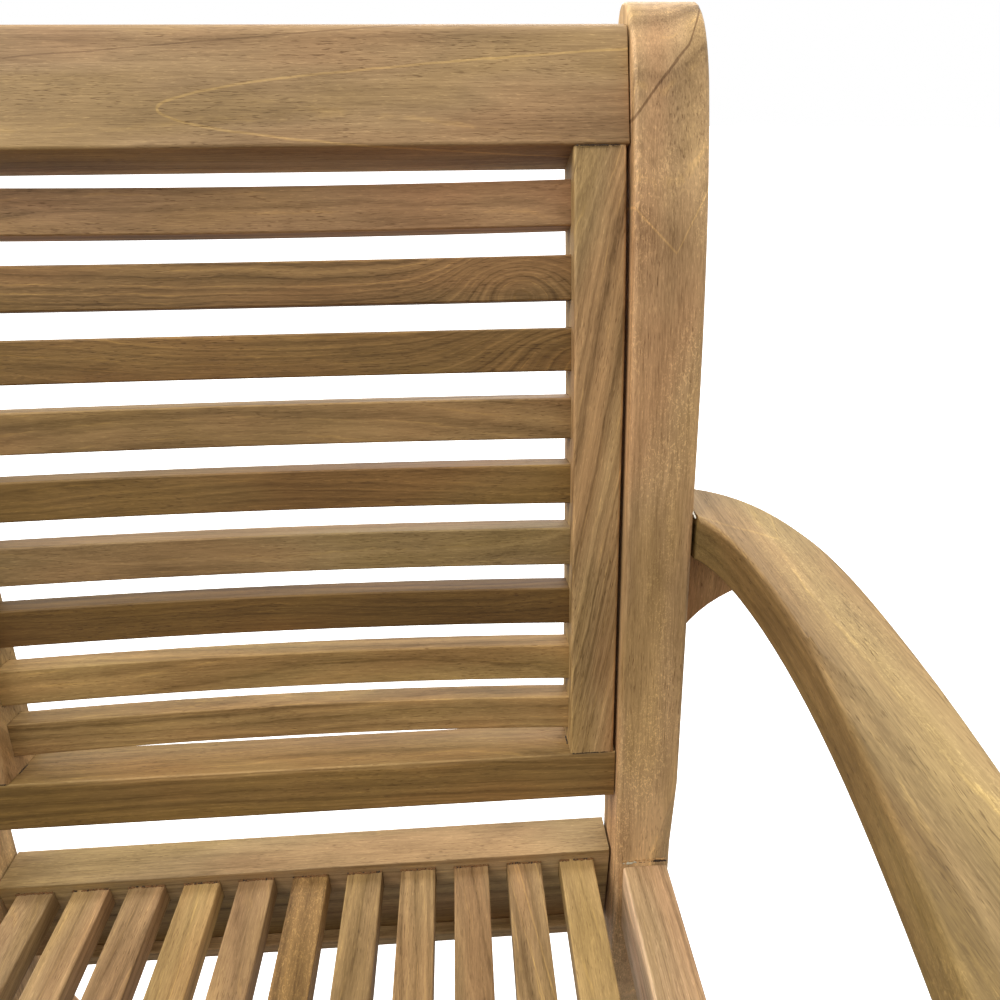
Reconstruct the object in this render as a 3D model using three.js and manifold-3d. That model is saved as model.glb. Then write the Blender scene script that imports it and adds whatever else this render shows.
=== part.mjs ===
// A slatted teak garden armchair: curved rear posts, a framed back of nine bowed slats, a seat of
// eleven slats, and arms that bow outwards. Millimetres, +Z up, the sitter looks along -Y.
import * as THREE from 'three';
import { mergeVertices } from 'three/addons/utils/BufferGeometryUtils.js';
import Module from 'manifold-3d';

const wasm = await Module();
wasm.setup();

// ---- Driving dimensions -------------------------------------------------------------------------

const FIT = 0.3; // glue gap between two pieces
const SEAT_TILT = THREE.MathUtils.degToRad(3); // the seat falls towards the back
const RAIL_TOP_HEIGHT = 418; // top front edge of the rear seat rail above the ground

const INNER = 220; // half of the clear width between the posts
const POST_WIDTH = 42;
const POST_DEPTH = 44;
const POST_PROUD = 8; // the post stands this far in front of the back panel
const OUTER = INNER + POST_WIDTH;
const MIDDLE = INNER + POST_WIDTH / 2;

const PANEL = 36; // thickness of the rails and stiles of the back
const PANEL_START = -6; // the panel's front plane at seat level, from the rear seat rail's front
const RECLINE = THREE.MathUtils.degToRad(10.2); // of the lower back from the seat's normal
const EASE_START = 320; // distances up the back: where it starts to curve,
const EASE_RADIUS = 1300;
const CREST_START = 430; // and where it curves more
const CREST_RADIUS = 600;
const POST_TOP = [505, 541]; // where its front and its back turn into the domed top
const POST_CROWN = [136.5, 538.5]; // the dome's highest point, in the seat frame
const KNEE_START = -30; // the post bends below the seat, so that the leg rakes back
const KNEE_END = -200;
const KNEE_RADIUS = 460;

// Stopped chamfer on the post's front outer corner: distance up the back, width, depth.
const POST_CHAMFER = [[70, 0, 0], [8, 17, 9], [-54, 17, 9], [-112, 0, 0]];

const BOTTOM_RAIL = [54, 90]; // lower and upper edge, as distances up the back
const TOP_RAIL = [476, 544];
const TOP_RAIL_ROUND = 11;
const STILE_WIDTH = 32;
const STILE_INNER = INNER - STILE_WIDTH;

const BACK_SLATS = 9;
const BACK_SLAT_START = 99.8; // lower edge of the lowest slat, up the back
const BACK_SLAT_PITCH = 42;
const BACK_SLAT_HEIGHT = 25.4;
const BACK_SLAT_THICK = 18.5;
const BACK_SLAT_SETBACK = 12; // from the stile's front to the slat's front
const BACK_SLAT_BOW = 7; // the middle of a slat lies this far behind its ends
const BACK_SLAT_HOUSING = 12;
// The two lowest slats are slighter, and the lowest stands above the even pitch: lift, height, thickness.
const LOW_SLATS = [[3.1, 24.7, 16.3], [0, BACK_SLAT_HEIGHT, 16.8]];

const REAR_RAIL_DEPTH = 29;
const REAR_RAIL_HEIGHT = 81;
const LEDGE_WIDTH = 9; // thin strip along the rear rail's lower front edge
const LEDGE_HEIGHT = 10;
const LEDGE_SHORT = 26; // it stops short of each post

const SEAT_SLATS = 11;
const SEAT_SLAT_WIDTH = 25;
const SEAT_SLAT_THICK = 18;
const SEAT_SLAT_PITCH = 38.8;
const SEAT_SLAT_DROP = 8; // slat tops below the rail tops
const SEAT_SLAT_HOUSING = 12;

const LEG_CENTRE = -390; // front leg at seat level
const LEG = 42;
const LEG_TENON = 11; // half of its width; it stands in the arm
const FRONT_RAIL = [-406, -377]; // front and back face
const FRONT_RAIL_HEIGHT = 62;

const SIDE_RAIL = [INNER + 5.5, INNER + 37.5]; // inner and outer face
const SIDE_RAIL_HEIGHT = 54;

const BATTEN_Y = [-215, -173];
const BATTEN_HEIGHT = 18;
const BATTEN_TENON = 12;

const ARM_TOP = 260; // above the rear rail's top
const ARM_THICK = 30;
const ARM_END = -440;
// The arm's inner upper edge is planed off from here forwards: distance along the edge's main curve,
// width across the top, drop down the side.
const ARM_BEVEL = [[0.18, 0, 0], [0.27, 3, 1.5], [0.36, 10, 4], [0.45, 15, 5], [0.62, 19, 6], [1, 20, 6]];
const ARM_BEVEL_END = 0.86; // along the front part of the inner edge

const CORBEL_Y = [40, 66];
const CORBEL_WIDTH = 50;
const CORBEL_HEIGHT = 70;
const CORBEL_TIP = 26; // its height at the outer end

const PIN_RADIUS = 3;
const PIN_INSET = 13; // from the post's inner side
const SCREW_RADIUS = 1.9;
const SCREW_HEAD_RADIUS = 3.9;
const SCREW_HEAD_HEIGHT = 2.6;
const SCREW_RIM = 0.5; // the head's straight edge
const SCREW_POINT = 3;
const SCREW_BITE = 9; // how far a batten screw goes into a slat

// Tenons, as ranges across X, Y (or depth behind the panel's front) and Z (or along the back).
const TENON_ROOT = 5; // how deep a tenon starts inside its own piece
const BACK_TENON_LENGTH = 26;
const BACK_TENON_DEPTH = [11, 25];
const TOP_TENON_RISE = [-24, 22];
const BOTTOM_TENON_RISE = [-11, 11];
const REAR_RAIL_TENON = { length: 24, y: [10, 22], z: [-70, -12] };
const FRONT_RAIL_TENON = { length: 22, y: [-402, -391], z: [-60, -18] };
const SIDE_RAIL_TENON = { half: 7, rear: [-20, 5], front: [-383, -360], z: [-46, -8] };
const ARM_TENON = { length: 22, y: [44, 64], z: [ARM_TOP - 22, ARM_TOP - 9] };
const BATTEN_SHOULDER = { side: 6, top: 3 };
const LEG_TENON_RISE = [-12, 17]; // from the leg's top
const FRONT_RAIL_LIP = 3; // the front rail stands this far over the slats
const CORBEL_SWEEP = { across: 0.32, drop: 10 }; // where its lower edge turns in
const CLEAR = 40; // how far a cutting block runs past its piece
const STILE_TENON = { inset: 7, depth: [12, 24], length: 13 };

// ---- Frames -------------------------------------------------------------------------------------

// The seat frame has its origin on the top front edge of the rear seat rail, +Y along the slats
// towards the back and +Z square to them.
const SEAT = new THREE.Matrix4()
  .makeTranslation(0, 0, RAIL_TOP_HEIGHT)
  .multiply(new THREE.Matrix4().makeRotationX(-SEAT_TILT));

// Angle of the back's front line from the seat's normal, at a distance s along it from seat level.
function recline(s) {
  if (s < KNEE_START) return RECLINE - (KNEE_START - Math.max(s, KNEE_END)) / KNEE_RADIUS;
  const ease = Math.max(0, Math.min(s, CREST_START) - EASE_START) / EASE_RADIUS;
  return RECLINE + ease + Math.max(0, s - CREST_START) / CREST_RADIUS;
}

// Point of the back's front line at s, moved back by depth square to the line; [y, z] in the seat frame.
function backPoint(s, depth = 0) {
  const steps = Math.max(1, Math.ceil(Math.abs(s) / 8));
  let y = PANEL_START;
  let z = 0;
  for (let i = 0; i < steps; i += 1) {
    const angle = recline((s * (i + 0.5)) / steps);
    y += (Math.sin(angle) * s) / steps;
    z += (Math.cos(angle) * s) / steps;
  }
  return [y + depth * Math.cos(recline(s)), z - depth * Math.sin(recline(s))];
}

// Frame on the back at s: X across, Y square to the panel and backwards, Z up the panel.
function backFrame(s) {
  const [y, z] = backPoint(s);
  const turned = new THREE.Matrix4().makeRotationX(-recline(s));
  return SEAT.clone().multiply(new THREE.Matrix4().makeTranslation(0, y, z)).multiply(turned);
}

// ---- Solids -------------------------------------------------------------------------------------

function toSolid(geometry) {
  const bare = geometry.index ? geometry.toNonIndexed() : geometry.clone();
  bare.deleteAttribute('normal');
  bare.deleteAttribute('uv');
  const merged = mergeVertices(bare, 1e-4);
  return new wasm.Manifold(new wasm.Mesh({
    numProp: 3,
    vertProperties: new Float32Array(merged.attributes.position.array),
    triVerts: new Uint32Array(merged.index.array),
  }));
}

function toGeometry(solid) {
  const mesh = solid.getMesh();
  const geometry = new THREE.BufferGeometry();
  geometry.setAttribute('position', new THREE.BufferAttribute(new Float32Array(mesh.vertProperties), 3));
  geometry.setIndex(new THREE.BufferAttribute(new Uint32Array(mesh.triVerts), 1));
  geometry.computeVertexNormals();
  return geometry;
}

function join(...solids) {
  return solids.reduce((a, b) => a.add(b));
}

function cut(solid, ...tools) {
  return tools.reduce((a, b) => a.subtract(b), solid);
}

// Box between two corners given as [low, high] on each axis, grown all round, in a frame.
function block(x, y, z, frame = SEAT, grow = 0) {
  const size = [x, y, z].map(([low, high]) => high - low + 2 * grow);
  const geometry = new THREE.BoxGeometry(...size);
  geometry.translate(...[x, y, z].map(([low, high]) => (low + high) / 2));
  return toSolid(geometry.applyMatrix4(frame));
}

// Outline in the YZ plane, pushed along X between x[0] and x[1].
function sideProfile(points, x, frame = SEAT) {
  const shape = Array.isArray(points) ? new THREE.Shape(points.map((p) => new THREE.Vector2(...p))) : points;
  const depth = x[1] - x[0];
  const geometry = new THREE.ExtrudeGeometry(shape, { depth, bevelEnabled: false, curveSegments: 8 });
  const basis = new THREE.Matrix4().makeBasis(
    new THREE.Vector3(0, 1, 0), new THREE.Vector3(0, 0, 1), new THREE.Vector3(1, 0, 0));
  geometry.applyMatrix4(basis).translate(x[0], 0, 0);
  return toSolid(geometry.applyMatrix4(frame));
}

// Outline in the XY plane, pushed along Z between z[0] and z[1].
function planProfile(shape, z, frame = SEAT) {
  const geometry = new THREE.ExtrudeGeometry(shape, { depth: z[1] - z[0], bevelEnabled: false });
  return toSolid(geometry.translate(0, 0, z[0]).applyMatrix4(frame));
}

// Round peg along the +Y of a frame, at x.
function peg(radius, [from, to], x, frame) {
  const geometry = new THREE.CylinderGeometry(radius, radius, to - from, 12);
  return toSolid(geometry.translate(x, (from + to) / 2, 0).applyMatrix4(frame));
}

// Closed wedge between two triangles of the seat frame. Seen from outside the first one, both run
// anticlockwise.
function wedge(first, second) {
  const corners = [...first, ...second];
  const faces = [[0, 1, 2], [5, 4, 3], [0, 3, 4], [0, 4, 1], [1, 4, 5], [1, 5, 2], [2, 5, 3], [2, 3, 0]];
  const points = faces.flat().map((i) => corners[i]);
  return toSolid(new THREE.BufferGeometry().setFromPoints(points).applyMatrix4(SEAT));
}

// Wedges joined through a row of triangles.
function wedgeChain(sections) {
  return join(...sections.slice(1).map((section, i) => wedge(sections[i], section)));
}

// The same piece for the other side of the chair.
function mirrored(solid) {
  const mesh = solid.getMesh();
  const position = Float32Array.from(mesh.vertProperties, (v, i) => (i % 3 === 0 ? -v : v));
  const index = Uint32Array.from(mesh.triVerts);
  for (let i = 0; i < index.length; i += 3) [index[i], index[i + 1]] = [index[i + 1], index[i]];
  return new wasm.Manifold(new wasm.Mesh({ numProp: 3, vertProperties: position, triVerts: index }));
}

// ---- Tenons, each made once for its piece and grown by the glue gap for its mortise ---------------

const topRailFrame = backFrame((TOP_RAIL[0] + TOP_RAIL[1]) / 2);
const bottomRailFrame = backFrame((BOTTOM_RAIL[0] + BOTTOM_RAIL[1]) / 2);
const topRailHalf = (TOP_RAIL[1] - TOP_RAIL[0]) / 2;
const bottomRailHalf = (BOTTOM_RAIL[1] - BOTTOM_RAIL[0]) / 2;

const intoPost = (length) => [INNER - TENON_ROOT, INNER + length];
const inStile = [STILE_INNER + STILE_TENON.inset, INNER - STILE_TENON.inset];
const inSideRail = [MIDDLE - SIDE_RAIL_TENON.half, MIDDLE + SIDE_RAIL_TENON.half];

const topRailTenon = (grow) => block(
  intoPost(BACK_TENON_LENGTH), BACK_TENON_DEPTH, TOP_TENON_RISE, topRailFrame, grow);
const bottomRailTenon = (grow) => block(
  intoPost(BACK_TENON_LENGTH), BACK_TENON_DEPTH, BOTTOM_TENON_RISE, bottomRailFrame, grow);
const rearRailTenon = (grow) => block(
  intoPost(REAR_RAIL_TENON.length), REAR_RAIL_TENON.y, REAR_RAIL_TENON.z, SEAT, grow);
const frontRailTenon = (grow) => block(
  intoPost(FRONT_RAIL_TENON.length), FRONT_RAIL_TENON.y, FRONT_RAIL_TENON.z, SEAT, grow);
const sideRailRearTenon = (grow) => block(inSideRail, SIDE_RAIL_TENON.rear, SIDE_RAIL_TENON.z, SEAT, grow);
const sideRailFrontTenon = (grow) => block(inSideRail, SIDE_RAIL_TENON.front, SIDE_RAIL_TENON.z, SEAT, grow);
const armTenon = (grow) => block(
  [OUTER - ARM_TENON.length, OUTER + TENON_ROOT], ARM_TENON.y, ARM_TENON.z, SEAT, grow);
const stileFootTenon = (grow) => block(inStile, STILE_TENON.depth,
  [bottomRailHalf - STILE_TENON.length, bottomRailHalf + TENON_ROOT], bottomRailFrame, grow);
const stileHeadTenon = (grow) => block(inStile, STILE_TENON.depth,
  [-topRailHalf - TENON_ROOT, -topRailHalf + STILE_TENON.length], topRailFrame, grow);
const battenTenon = (grow) => block(
  [SIDE_RAIL[0] - TENON_ROOT, SIDE_RAIL[0] + BATTEN_TENON],
  [BATTEN_Y[0] + BATTEN_SHOULDER.side, BATTEN_Y[1] - BATTEN_SHOULDER.side],
  [battenTop() - BATTEN_HEIGHT + BATTEN_SHOULDER.top, battenTop() - BATTEN_SHOULDER.top], SEAT, grow);

function battenTop() {
  return -SEAT_SLAT_DROP - SEAT_SLAT_THICK - FIT;
}

// The front leg stands upright, so it has a frame of its own, on the ground under its centre.
const LEG_FOOT = new THREE.Vector3(MIDDLE, LEG_CENTRE, 0).applyMatrix4(SEAT);
const LEG_FRAME = new THREE.Matrix4().makeTranslation(LEG_FOOT.x, LEG_FOOT.y, 0);
const LEG_TOP = new THREE.Vector3(0, LEG_CENTRE, ARM_TOP - ARM_THICK).applyMatrix4(SEAT).z;
const legTenon = (grow) => block([-LEG_TENON, LEG_TENON], [-LEG_TENON, LEG_TENON],
  [LEG_TOP + LEG_TENON_RISE[0], LEG_TOP + LEG_TENON_RISE[1]], LEG_FRAME, grow);

// ---- Pins through the posts from behind, into the rails' tenons ----------------------------------

// Height up the back, and depth of the pin's inner end behind the panel's front.
const PINS = {
  top_rail: { height: (TOP_RAIL[0] + TOP_RAIL[1]) / 2, start: 13 },
  bottom_rail: { height: (BOTTOM_RAIL[0] + BOTTOM_RAIL[1]) / 2, start: 13 },
  rear_seat_rail: { height: -41, start: 21 },
};

function pin({ height, start }, grow) {
  const back = POST_DEPTH - POST_PROUD;
  const end = grow ? back + 2 : back - FIT;
  return peg(PIN_RADIUS + grow, [start - grow, end], INNER + PIN_INSET, backFrame(height));
}

// ---- The back -----------------------------------------------------------------------------------

// Side outline of a rear post and leg, with a domed top and an overlong foot.
function postOutline() {
  const front = -POST_PROUD;
  const back = POST_DEPTH - POST_PROUD;
  const foot = -RAIL_TOP_HEIGHT - 40;
  const bend = (from, to, depth, count) => Array.from({ length: count + 1 },
    (_, i) => backPoint(from + ((to - from) * i) / count, depth));
  const frontEdge = [backPoint(foot, front), ...bend(KNEE_END, KNEE_START, front, 8),
    ...bend(EASE_START, CREST_START, front, 6), ...bend(CREST_START + 15, POST_TOP[0], front, 4)];
  const backEdge = [...bend(POST_TOP[1], CREST_START, back, 6),
    ...bend(CREST_START - 18, EASE_START, back, 5),
    ...bend(KNEE_START, KNEE_END, back, 8), backPoint(foot, back)];
  const crown = new THREE.Vector2(...POST_CROWN);
  const start = new THREE.Vector2(...frontEdge.at(-1));
  const end = new THREE.Vector2(...backEdge[0]);
  const rise = new THREE.CubicBezierCurve(start, start.clone().add(new THREE.Vector2(8, 18)),
    crown.clone().add(new THREE.Vector2(-22, 0)), crown);
  const fall = new THREE.CubicBezierCurve(crown, crown.clone().add(new THREE.Vector2(8, 0)),
    end.clone().add(new THREE.Vector2(-1, 9)), end);
  const dome = [...rise.getPoints(9).slice(1), ...fall.getPoints(5).slice(1, -1)];
  return [...frontEdge, ...dome.map((p) => [p.x, p.y]), ...backEdge];
}

// Stopped chamfer on the post's front outer corner, where the narrower side rail meets it.
function cornerChamfer() {
  const clear = 0.3;
  return wedgeChain(POST_CHAMFER.map(([s, width, depth]) => [
    new THREE.Vector3(OUTER - width, ...backPoint(s, -POST_PROUD - clear)),
    new THREE.Vector3(OUTER + 4, ...backPoint(s, -POST_PROUD - 4)),
    new THREE.Vector3(OUTER + clear, ...backPoint(s, -POST_PROUD + depth)),
  ]));
}

const ground = block([-600, 600], [-900, 900], [-200, 0], new THREE.Matrix4());

function post() {
  const blank = sideProfile(postOutline(), [INNER, OUTER]);
  const pins = Object.values(PINS).map((place) => pin(place, FIT));
  return cut(blank, ground, cornerChamfer(), topRailTenon(FIT), bottomRailTenon(FIT), rearRailTenon(FIT),
    sideRailRearTenon(FIT), armTenon(FIT), ...pins);
}

function topRail() {
  const shape = new THREE.Shape();
  shape.moveTo(0, -topRailHalf);
  shape.lineTo(PANEL, -topRailHalf);
  shape.absarc(PANEL - TOP_RAIL_ROUND, topRailHalf - TOP_RAIL_ROUND, TOP_RAIL_ROUND, 0, Math.PI / 2, false);
  shape.absarc(TOP_RAIL_ROUND, topRailHalf - TOP_RAIL_ROUND, TOP_RAIL_ROUND, Math.PI / 2, Math.PI, false);
  const body = sideProfile(shape, [-INNER + FIT, INNER - FIT], topRailFrame);
  const tenon = cut(topRailTenon(0), pin(PINS.top_rail, FIT));
  const mortise = stileHeadTenon(FIT);
  return cut(join(body, tenon, mirrored(tenon)), mortise, mirrored(mortise));
}

function bottomRail() {
  const body = block([-INNER + FIT, INNER - FIT], [0, PANEL], [-bottomRailHalf, bottomRailHalf],
    bottomRailFrame);
  const tenon = cut(bottomRailTenon(0), pin(PINS.bottom_rail, FIT));
  const mortise = stileFootTenon(FIT);
  return cut(join(body, tenon, mirrored(tenon)), mortise, mirrored(mortise));
}

// Back slat in the frame at its mid height: a band that bows backwards between the stiles.
function backSlat(index, grow = 0) {
  const [lift, height, thick] = LOW_SLATS[index] ?? [0, BACK_SLAT_HEIGHT, BACK_SLAT_THICK];
  const half = STILE_INNER + BACK_SLAT_HOUSING + grow;
  const setback = (x) => BACK_SLAT_SETBACK + BACK_SLAT_BOW * (1 - (x / STILE_INNER) ** 2);
  const stations = Array.from({ length: 11 }, (_, i) => -half + (2 * half * i) / 10);
  const near = stations.map((x) => new THREE.Vector2(x, setback(x) - grow));
  const far = stations.map((x) => new THREE.Vector2(x, setback(x) + thick + grow)).reverse();
  const rise = height / 2 + grow;
  const middle = BACK_SLAT_START + index * BACK_SLAT_PITCH + lift + height / 2;
  return planProfile(new THREE.Shape([...near, ...far]), [-rise, rise], backFrame(middle));
}

function stile() {
  const count = 15;
  const heights = Array.from({ length: count }, (_, i) => BOTTOM_RAIL[1] + FIT
    + ((TOP_RAIL[0] + 4 - BOTTOM_RAIL[1]) * i) / (count - 1));
  const back = heights.map((s) => backPoint(s, PANEL)).reverse();
  const outline = [...heights.map((s) => backPoint(s)), ...back];
  const blank = sideProfile(outline, [STILE_INNER, INNER - FIT]);
  const railAbove = block([0, OUTER], [-20, 60], [-topRailHalf - FIT, topRailHalf], topRailFrame);
  const housings = Array.from({ length: BACK_SLATS }, (_, i) => backSlat(i, FIT));
  return cut(join(cut(blank, railAbove), stileFootTenon(0), stileHeadTenon(0)), ...housings);
}

// ---- The seat -----------------------------------------------------------------------------------

function slatCentre(index) {
  return (index - (SEAT_SLATS - 1) / 2) * SEAT_SLAT_PITCH;
}

function seatSlat(index, grow = 0) {
  const x = slatCentre(index);
  const span = [FRONT_RAIL[1] - SEAT_SLAT_HOUSING, SEAT_SLAT_HOUSING];
  return block([x - SEAT_SLAT_WIDTH / 2, x + SEAT_SLAT_WIDTH / 2], span,
    [-SEAT_SLAT_DROP - SEAT_SLAT_THICK, -SEAT_SLAT_DROP], SEAT, grow);
}

const slatNumbers = Array.from({ length: SEAT_SLATS }, (_, i) => i);
const slatHousings = join(...slatNumbers.map((i) => seatSlat(i, FIT)));

function rearSeatRail() {
  const body = block([-INNER + FIT, INNER - FIT], [0, REAR_RAIL_DEPTH], [-REAR_RAIL_HEIGHT, 0]);
  const tenon = cut(rearRailTenon(0), pin(PINS.rear_seat_rail, FIT));
  return cut(join(body, tenon, mirrored(tenon)), slatHousings);
}

function rearLedge() {
  return block([-INNER + LEDGE_SHORT, INNER - LEDGE_SHORT], [-LEDGE_WIDTH - FIT, -FIT],
    [-REAR_RAIL_HEIGHT, -REAR_RAIL_HEIGHT + LEDGE_HEIGHT]);
}

function frontSeatRail() {
  const body = block([-INNER + FIT, INNER - FIT], FRONT_RAIL, [-FRONT_RAIL_HEIGHT - SEAT_SLAT_DROP, 0]);
  const top = block([-INNER, INNER], [FRONT_RAIL[0] - CLEAR, FRONT_RAIL[1] + CLEAR],
    [-SEAT_SLAT_DROP + FRONT_RAIL_LIP, CLEAR]);
  const tenon = frontRailTenon(0);
  return cut(join(cut(body, top), tenon, mirrored(tenon)), slatHousings);
}

// Side rail, cut at the back along the post's front face and at the front along the upright leg.
function sideRail() {
  const body = block(SIDE_RAIL, [-460, 40], [-SIDE_RAIL_HEIGHT, 0]);
  const behind = block([0, 400], [-POST_PROUD - FIT, 120], [-200, 200], backFrame(0));
  const ahead = block([-100, 100], [-120, LEG / 2 + FIT], [0, 800], LEG_FRAME);
  const shaped = cut(body, behind, ahead);
  return cut(join(shaped, sideRailRearTenon(0), sideRailFrontTenon(0)), battenTenon(FIT));
}

// Countersunk screw from under the batten into a slat, or the hole for it.
function screw(index, grow = 0) {
  const place = [slatCentre(index), (BATTEN_Y[0] + BATTEN_Y[1]) / 2, battenTop()];
  const frame = SEAT.clone().multiply(new THREE.Matrix4().makeTranslation(...place));
  const shank = SCREW_RADIUS + grow;
  const head = SCREW_HEAD_RADIUS + grow;
  const base = -BATTEN_HEIGHT + FIT;
  const mouth = grow ? base - 1 : base;
  const outline = [[0, mouth], [head, mouth], [head, base + SCREW_RIM],
    [shank, base + SCREW_HEAD_HEIGHT + grow], [shank, SCREW_BITE - SCREW_POINT], [0, SCREW_BITE + grow]];
  const geometry = new THREE.LatheGeometry(outline.map((p) => new THREE.Vector2(...p)), 12);
  return toSolid(geometry.rotateX(Math.PI / 2).applyMatrix4(frame));
}

const screwHoles = join(...slatNumbers.map((i) => screw(i, FIT)));

function seatBatten() {
  const body = block([-SIDE_RAIL[0] + FIT, SIDE_RAIL[0] - FIT], BATTEN_Y,
    [battenTop() - BATTEN_HEIGHT, battenTop()]);
  return cut(join(body, battenTenon(0), mirrored(battenTenon(0))), screwHoles);
}

// ---- Legs and arms ------------------------------------------------------------------------------

function frontLeg() {
  const half = LEG / 2;
  const blank = block([-half, half], [-half, half], [0, LEG_TOP + 40], LEG_FRAME);
  const armAbove = block([0, 400], [-600, 0], [ARM_TOP - ARM_THICK - FIT, 500]);
  return cut(join(cut(blank, armAbove), legTenon(0)), frontRailTenon(FIT), sideRailFrontTenon(FIT));
}

// Plan of the right arm: out from the post's side, forwards in a long bow, and in over the leg.
const plan = (x, y) => new THREE.Vector2(x, y);
const bezier = (...points) => new THREE.CubicBezierCurve(...points.map((p) => plan(...p)));
const ARM_INNER = [
  bezier([OUTER + FIT, 32], [274, 20], [277, -10], [278, -44]),
  bezier([278, -44], [279, -110], [268, -175], [252, -250]),
  bezier([252, -250], [240, -306], [226, -345], [219, ARM_END + 34]),
];
const ARM_REST = [
  bezier([219, ARM_END + 34], [214, ARM_END + 12], [222, ARM_END], [240, ARM_END]),
  bezier([240, ARM_END], [262, ARM_END], [271, ARM_END + 9], [274, ARM_END + 32]),
  bezier([274, ARM_END + 32], [281, -330], [314, -190], [321, -100]),
  bezier([321, -100], [325, -50], [326, -18], [319, 8]),
  bezier([319, 8], [312, 40], [296, 68], [OUTER + FIT, 76]),
];

// The wood that is planed off the arm's inner upper edge.
function armBevel() {
  const clear = 0.3;
  const section = (point, width, drop) => [
    new THREE.Vector3(point.x - 4, point.y, ARM_TOP + 4),
    new THREE.Vector3(point.x + width, point.y, ARM_TOP + clear),
    new THREE.Vector3(point.x - clear, point.y, ARM_TOP - drop),
  ];
  const [, width, drop] = ARM_BEVEL.at(-1);
  const front = [0.3, 0.6].map((t) => section(ARM_INNER[2].getPoint(t), width, drop));
  return wedgeChain([...ARM_BEVEL.map(([t, w, d]) => section(ARM_INNER[1].getPoint(t), w, d)), ...front,
    section(ARM_INNER[2].getPoint(ARM_BEVEL_END), 0, 0)]);
}

function arm() {
  const edge = [...ARM_INNER, ...ARM_REST].flatMap((curve) => curve.getPoints(14).slice(1));
  const shape = new THREE.Shape(edge);
  const body = planProfile(shape, [ARM_TOP - ARM_THICK, ARM_TOP]);
  return cut(join(body, armTenon(0)), armBevel(), legTenon(FIT));
}

// Bracket under the arm, against the post's outer side, with a hollow lower edge.
function corbel() {
  const top = ARM_TOP - ARM_THICK - FIT;
  const inner = OUTER + FIT;
  const tip = plan(inner + CORBEL_WIDTH, top - CORBEL_TIP);
  const turn = plan(inner + CORBEL_WIDTH * CORBEL_SWEEP.across, top - CORBEL_TIP - CORBEL_SWEEP.drop);
  const hollow = new THREE.QuadraticBezierCurve(plan(inner, top - CORBEL_HEIGHT), turn, tip);
  const shape = new THREE.Shape([plan(inner, top), ...hollow.getPoints(8), plan(inner + CORBEL_WIDTH, top)]);
  const depth = CORBEL_Y[1] - CORBEL_Y[0];
  const geometry = new THREE.ExtrudeGeometry(shape, { depth, bevelEnabled: false });
  geometry.rotateX(Math.PI / 2).translate(0, CORBEL_Y[1], 0);
  return toSolid(geometry.applyMatrix4(SEAT));
}

// ---- Assembly -----------------------------------------------------------------------------------

const TEAK = [0xb98f5e, 0xae8553, 0xc29a68, 0xa98155];
const chair = new THREE.Group();
let shade = 0;

function teak() {
  shade += 1;
  return new THREE.MeshStandardMaterial({ color: TEAK[shade % TEAK.length], roughness: 0.62, metalness: 0 });
}

function add(name, solid, material = teak()) {
  const mesh = new THREE.Mesh(toGeometry(solid), material);
  mesh.name = name;
  chair.add(mesh);
}

function addPair(name, rightSolid) {
  add(`${name}_right`, rightSolid);
  add(`${name}_left`, mirrored(rightSolid));
}

addPair('rear_post', post());
addPair('back_stile', stile());
addPair('front_leg', frontLeg());
addPair('side_seat_rail', sideRail());
addPair('arm', arm());
addPair('arm_corbel', corbel());
add('top_rail', topRail());
add('bottom_back_rail', bottomRail());
add('rear_seat_rail', rearSeatRail());
add('rear_rail_ledge', rearLedge());
add('front_seat_rail', frontSeatRail());
add('seat_batten', seatBatten());
for (let i = 0; i < BACK_SLATS; i += 1) add(`back_slat_${i + 1}`, backSlat(i));
for (const i of slatNumbers) add(`seat_slat_${i + 1}`, cut(seatSlat(i), screwHoles));
for (const [name, place] of Object.entries(PINS)) addPair(`${name}_pin`, pin(place, 0));
const steel = new THREE.MeshStandardMaterial({ color: 0x9a9a98, roughness: 0.35, metalness: 1 });
for (const i of slatNumbers) add(`batten_screw_${i + 1}`, screw(i), steel);

// The origin is on the ground under the middle of the chair's outline.
const bounds = new THREE.Box3().setFromObject(chair);
chair.position.y = -(bounds.min.y + bounds.max.y) / 2;

export default chair;
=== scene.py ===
"""Looks of a slatted teak garden armchair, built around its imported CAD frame.

Every board gets a piece of its own shape with eased arrises and a solid procedural teak whose growth
rings, pores and streaks run through the board, so faces, edges and end grain agree.
Metres throughout, in the frame's own axes: +X to the right, +Y to the back, +Z up.
"""
import math
import random
from dataclasses import dataclass

import bmesh
import bpy
from mathutils import Matrix, Vector, noise
from mathutils.bvhtree import BVHTree


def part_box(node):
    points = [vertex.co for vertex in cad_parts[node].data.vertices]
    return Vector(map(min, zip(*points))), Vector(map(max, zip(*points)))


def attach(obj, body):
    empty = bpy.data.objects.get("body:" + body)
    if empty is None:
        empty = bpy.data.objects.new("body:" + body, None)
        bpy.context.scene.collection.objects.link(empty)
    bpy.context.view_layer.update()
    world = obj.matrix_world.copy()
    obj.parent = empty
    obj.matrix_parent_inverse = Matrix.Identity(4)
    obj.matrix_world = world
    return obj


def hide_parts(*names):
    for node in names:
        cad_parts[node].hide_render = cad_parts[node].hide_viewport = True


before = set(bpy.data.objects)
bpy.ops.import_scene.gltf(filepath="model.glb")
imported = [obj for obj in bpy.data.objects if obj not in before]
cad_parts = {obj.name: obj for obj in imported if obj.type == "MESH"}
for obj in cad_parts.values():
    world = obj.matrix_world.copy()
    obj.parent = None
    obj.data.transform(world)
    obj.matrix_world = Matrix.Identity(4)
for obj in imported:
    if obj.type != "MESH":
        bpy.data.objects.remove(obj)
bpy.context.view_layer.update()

MM = 0.001

# ---- Seat frame -----------------------------------------------------------------------------------
# Its origin is the top front edge of the rear seat rail, +Y runs along the slats, +Z square to them.

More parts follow.
